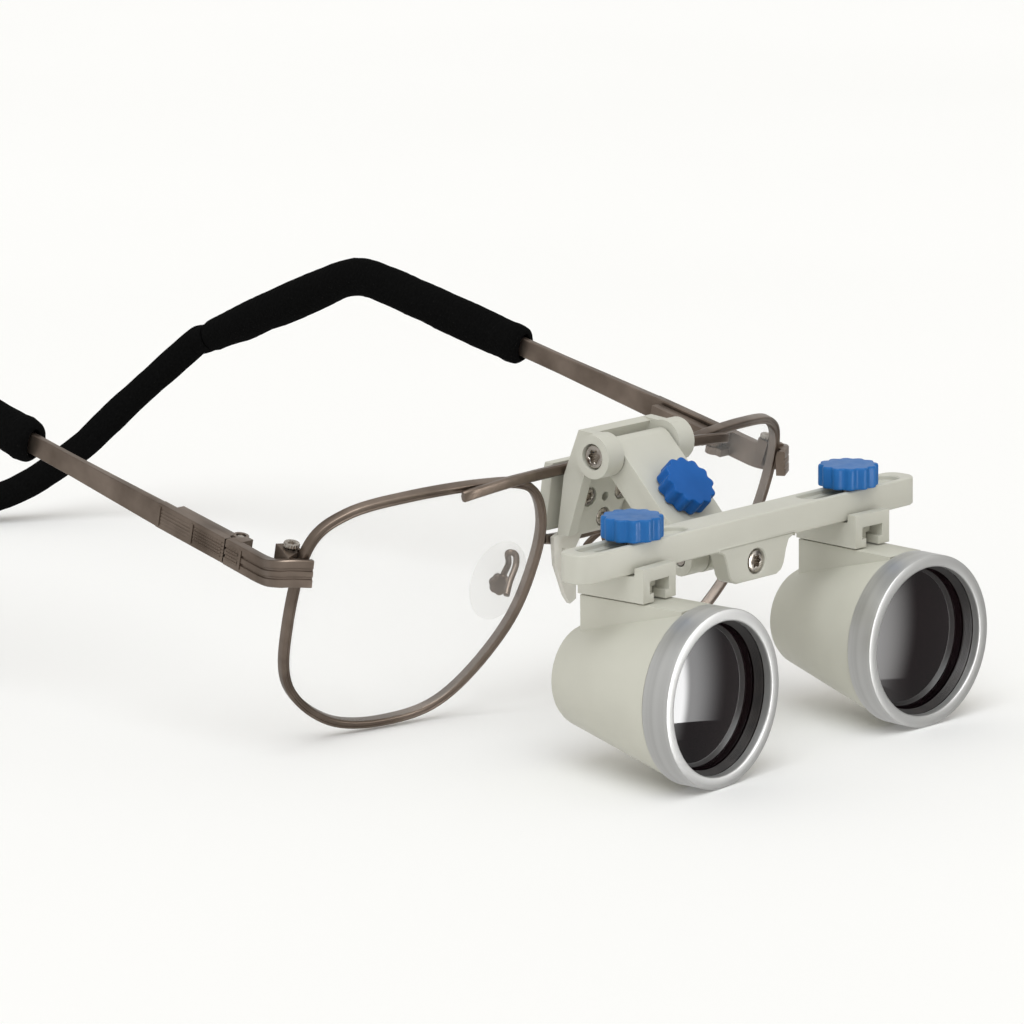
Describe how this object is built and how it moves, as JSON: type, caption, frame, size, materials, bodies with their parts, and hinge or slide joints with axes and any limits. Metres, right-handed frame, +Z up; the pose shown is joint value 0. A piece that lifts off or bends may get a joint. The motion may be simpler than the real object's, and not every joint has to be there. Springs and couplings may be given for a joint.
{
  "type": "flip-up dental loupes on a spectacle frame",
  "caption": "Through-the-bridge magnifying loupes that flip up, tilt and slide apart on a metal spectacle frame with a padded head strap.",
  "frame": {"origin": "middle of the object's footprint without its strap, on the surface that it stands on", "axes": "+X to the wearer's left, -Y ahead of the wearer (where the loupes point), +Z up"},
  "size_m": [0.1412, 0.2878, 0.0639],
  "materials": {
    "housing_grey_plastic": "satin",
    "blue_knob_plastic": "satin",
    "gunmetal_frame": "satin",
    "turned_aluminium": "satin",
    "bright_screws": "polished",
    "black_anodised": "matte",
    "optical_glass": "polished",
    "clear_lens_plastic": "polished",
    "clear_pad_silicone": "satin",
    "clip_plastic": "satin",
    "black_sleeve_fabric": "matte"
  },
  "bodies": {
    "frame": {"brow_bar": "gunmetal_frame", "lower_bridge": "gunmetal_frame", "bridge_bracket": "housing_grey_plastic", "rear_clamp": "housing_grey_plastic", "retaining_clip": "clip_plastic", "clamp_screw_lower": "bright_screws", "clamp_screw_upper_left": "bright_screws", "clamp_screw_upper_right": "bright_screws", "rim_left": "gunmetal_frame", "rim_right": "gunmetal_frame", "plano_lens_left": "clear_lens_plastic", "plano_lens_right": "clear_lens_plastic", "end_piece_left": "gunmetal_frame", "end_piece_right": "gunmetal_frame", "rim_lock_screw_left": "bright_screws", "rim_lock_screw_right": "bright_screws", "hinge_pin_left": "bright_screws", "hinge_pin_right": "bright_screws", "flip_screw_left": "bright_screws", "flip_screw_right": "bright_screws", "nose_pad_arm_left": "gunmetal_frame", "nose_pad_arm_right": "gunmetal_frame", "nose_pad_box_left": "gunmetal_frame", "nose_pad_box_right": "gunmetal_frame", "head_strap_left": "black_sleeve_fabric", "head_strap_right": "black_sleeve_fabric"},
    "flip_arm": {"flip_arm": "housing_grey_plastic", "tilt_lock_stud": "bright_screws", "tilt_pin": "bright_screws"},
    "tilt_lock_knob": {"tilt_lock_knob": "blue_knob_plastic"},
    "slide_bar": {"slide_bar": "housing_grey_plastic", "bar_screw": "bright_screws", "tilt_lug": "housing_grey_plastic"},
    "temple_left": {"temple_left": "gunmetal_frame", "spring_hinge_left": "gunmetal_frame", "temple_sleeve_left": "black_sleeve_fabric"},
    "slider_left": {"slider_left": "housing_grey_plastic", "pd_knob_stud_left": "bright_screws"},
    "pd_knob_left": {"pd_knob_left": "blue_knob_plastic"},
    "barrel_left": {"barrel_left": "housing_grey_plastic", "front_ring_left": "turned_aluminium", "lens_sleeve_left": "black_anodised", "objective_lens_left": "optical_glass", "eyepiece_lens_left": "optical_glass"},
    "nose_pad_left": {"nose_pad_left": "clear_pad_silicone"},
    "temple_right": {"temple_right": "gunmetal_frame", "spring_hinge_right": "gunmetal_frame", "temple_sleeve_right": "black_sleeve_fabric"},
    "slider_right": {"slider_right": "housing_grey_plastic", "pd_knob_stud_right": "bright_screws"},
    "pd_knob_right": {"pd_knob_right": "blue_knob_plastic"},
    "barrel_right": {"barrel_right": "housing_grey_plastic", "front_ring_right": "turned_aluminium", "lens_sleeve_right": "black_anodised", "objective_lens_right": "optical_glass", "eyepiece_lens_right": "optical_glass"},
    "nose_pad_right": {"nose_pad_right": "clear_pad_silicone"}
  },
  "joints": [
    {"name": "loupes_flip_up", "type": "hinge", "parent": "frame", "child": "flip_arm", "pos_m": [0, -0.06825, 0.0508], "axis": [-1, 0, 0], "range_deg": [0, 90]},
    {"name": "loupes_tilt", "type": "hinge", "parent": "flip_arm", "child": "slide_bar", "pos_m": [0, -0.08536, 0.0332], "axis": [1, 0, 0], "range_deg": [-12, 15]},
    {"name": "tilt_lock_turn", "type": "hinge", "parent": "flip_arm", "child": "tilt_lock_knob", "pos_m": [0, -0.07704, 0.04176], "axis": [0, -0.7172, 0.6968], "continuous": true},
    {"name": "temple_left_fold", "type": "hinge", "parent": "frame", "child": "temple_left", "pos_m": [0.0651, -0.03045, 0.0374], "axis": [0, -0.2284, 0.9736], "range_deg": [0, 90]},
    {"name": "slider_left_slide", "type": "slide", "parent": "slide_bar", "child": "slider_left", "axis": [1, 0, 0], "range_m": [-0.005, 0.005]},
    {"name": "pd_knob_left_turn", "type": "hinge", "parent": "slider_left", "child": "pd_knob_left", "pos_m": [0.02981, -0.09435, 0.0422], "axis": [0, 0, 1], "continuous": true},
    {"name": "barrel_left_slide", "type": "slide", "parent": "slider_left", "child": "barrel_left", "axis": [0.0572, 0.9984, 0], "range_m": [-0.003, 0.003]},
    {"name": "nose_pad_left_wobble", "type": "hinge", "parent": "frame", "child": "nose_pad_left", "pos_m": [0.0108, -0.04326, 0.0236], "axis": [0.7747, 0.5299, 0.3449], "range_deg": [-6, 6]},
    {"name": "temple_right_fold", "type": "hinge", "parent": "frame", "child": "temple_right", "pos_m": [-0.0651, -0.03045, 0.0374], "axis": [0, 0.2284, -0.9736], "range_deg": [0, 78]},
    {"name": "slider_right_slide", "type": "slide", "parent": "slide_bar", "child": "slider_right", "axis": [1, 0, 0], "range_m": [-0.005, 0.005]},
    {"name": "pd_knob_right_turn", "type": "hinge", "parent": "slider_right", "child": "pd_knob_right", "pos_m": [-0.02981, -0.09435, 0.0422], "axis": [0, 0, 1], "continuous": true},
    {"name": "barrel_right_slide", "type": "slide", "parent": "slider_right", "child": "barrel_right", "axis": [-0.0572, 0.9984, 0], "range_m": [-0.003, 0.003]},
    {"name": "nose_pad_right_wobble", "type": "hinge", "parent": "frame", "child": "nose_pad_right", "pos_m": [-0.0108, -0.04326, 0.0236], "axis": [0.7747, -0.5299, -0.3449], "range_deg": [-6, 6]}
  ]
}
